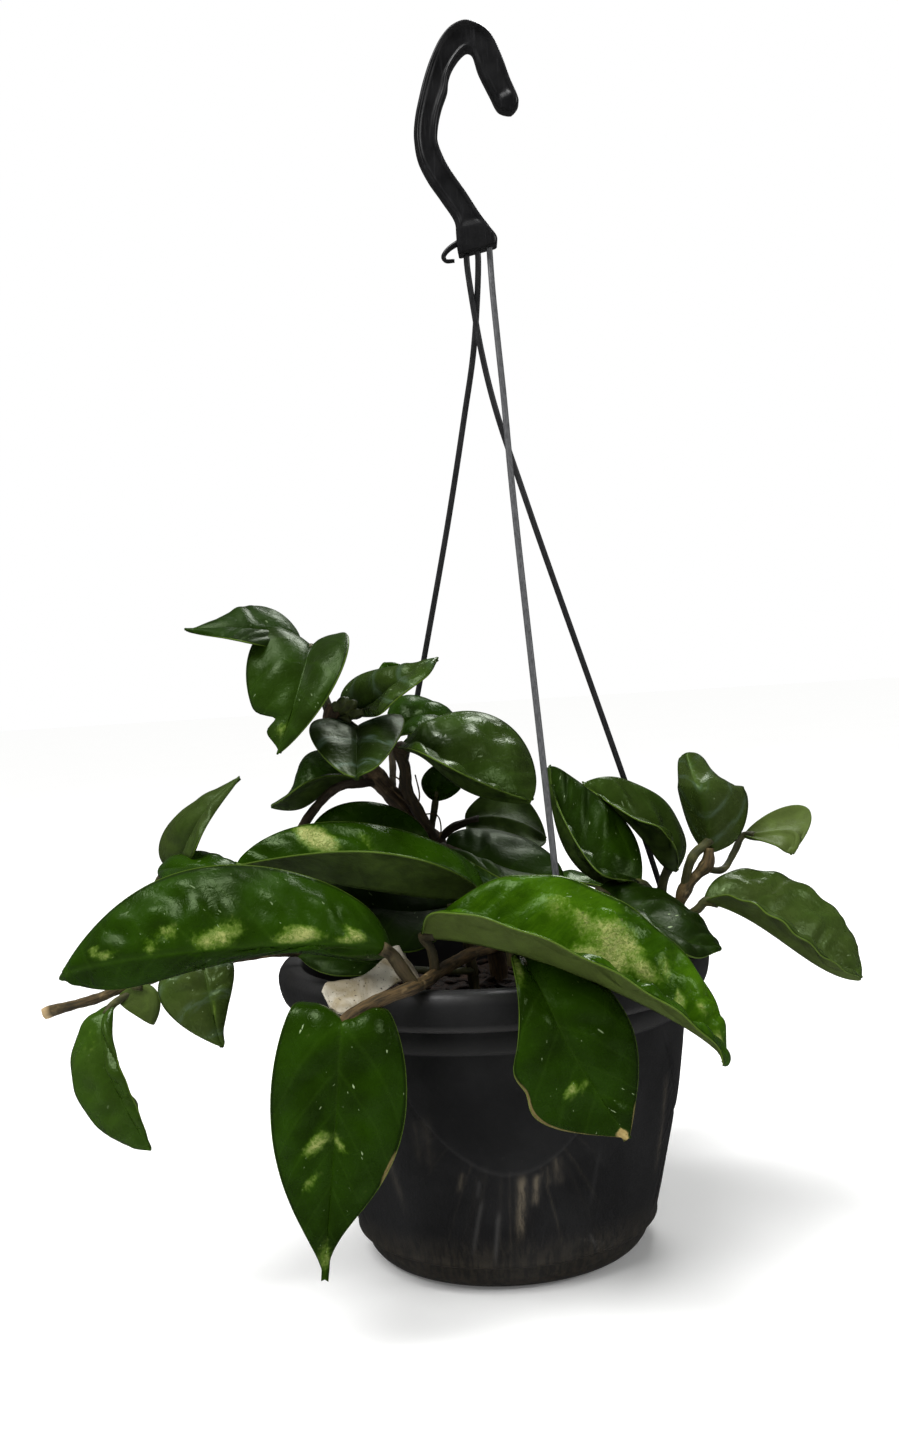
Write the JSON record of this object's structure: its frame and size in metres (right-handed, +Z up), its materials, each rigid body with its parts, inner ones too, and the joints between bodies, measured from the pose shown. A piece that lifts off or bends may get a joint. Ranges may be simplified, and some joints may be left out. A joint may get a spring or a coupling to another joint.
{
  "type": "potted hoya plant in a hanging pot",
  "caption": "Trailing hoya with leathery leaves in a black plastic hanging pot with a rolled lip and swag relief, hung on an arched hook by thin arms",
  "frame": {"origin": "centre of the pot's flat base, on its underside", "axes": "+Z up along the pot's axis, -Y towards the front of the pot as pictured, +X to the viewer's right"},
  "size_m": [0.3158, 0.2415, 0.48],
  "materials": {
    "pot_plastic": "moulded, semi-matt, dusty",
    "hanger_plastic": "moulded, satin",
    "leaf": "waxy, glossy, flecked with silver",
    "soil": "loose bark and peat",
    "card": "soiled, matt"
  },
  "bodies": {
    "root": {"pot": "pot_plastic", "soil": "soil", "hook": "hanger_plastic", "arm_front": "hanger_plastic", "arm_left": "hanger_plastic", "arm_right": "hanger_plastic", "label": "card", "vine_front": "leaf", "vine_arch": "leaf", "vine_top": "leaf", "vine_back": "leaf", "vine_right": "leaf", "vine_left": "leaf", "vine_behind": "leaf"}
  },
  "joints": []
}
